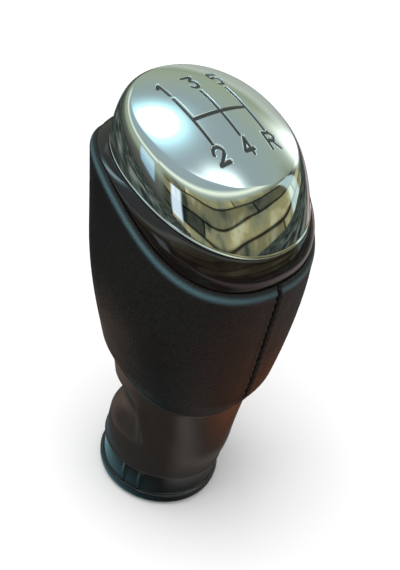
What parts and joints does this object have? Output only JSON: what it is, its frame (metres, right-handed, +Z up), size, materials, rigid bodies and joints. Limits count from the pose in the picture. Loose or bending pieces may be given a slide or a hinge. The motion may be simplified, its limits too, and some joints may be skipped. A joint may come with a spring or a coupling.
{
  "type": "gear shift knob",
  "caption": "Tall gear shift knob: oval leather-covered grip with a domed chrome cap, an engraved shift pattern, a slim satin neck and a glossy base ring.",
  "frame": {"origin": "centre of the lever bore's mouth, level with the base ring's flat foot", "axes": "+Z up the gear lever, -Y towards the driver (the seam's side), +X to the right as the driver sees it"},
  "size_m": [0.0524, 0.0493, 0.1],
  "materials": {
    "cap_chrome": "mirror chrome plate on moulded plastic",
    "pattern_enamel": "dark enamel fill",
    "collar_gloss_black": "polished piano black",
    "screw_steel": "zinc plated",
    "cover_leather": "fine grained, soft sheen",
    "seam_thread_black": "twisted thread",
    "pad_foam": "closed-cell foam",
    "core_plastic": "moulded, plain",
    "neck_satin_plastic": "satin, very fine grain",
    "bush_nylon": "natural nylon",
    "clip_steel": "spring wire",
    "ring_gloss_black": "polished"
  },
  "bodies": {
    "root": {"chrome_cap": "cap_chrome", "shift_pattern": "pattern_enamel", "upper_collar": "collar_gloss_black", "collar_screws": "screw_steel", "leather_cover": "cover_leather", "seam_thread": "seam_thread_black", "foam_pad": "pad_foam", "grip_core": "core_plastic", "neck_shell": "neck_satin_plastic", "lever_bush": "bush_nylon", "bush_clip": "clip_steel", "base_ring": "ring_gloss_black"}
  },
  "joints": []
}
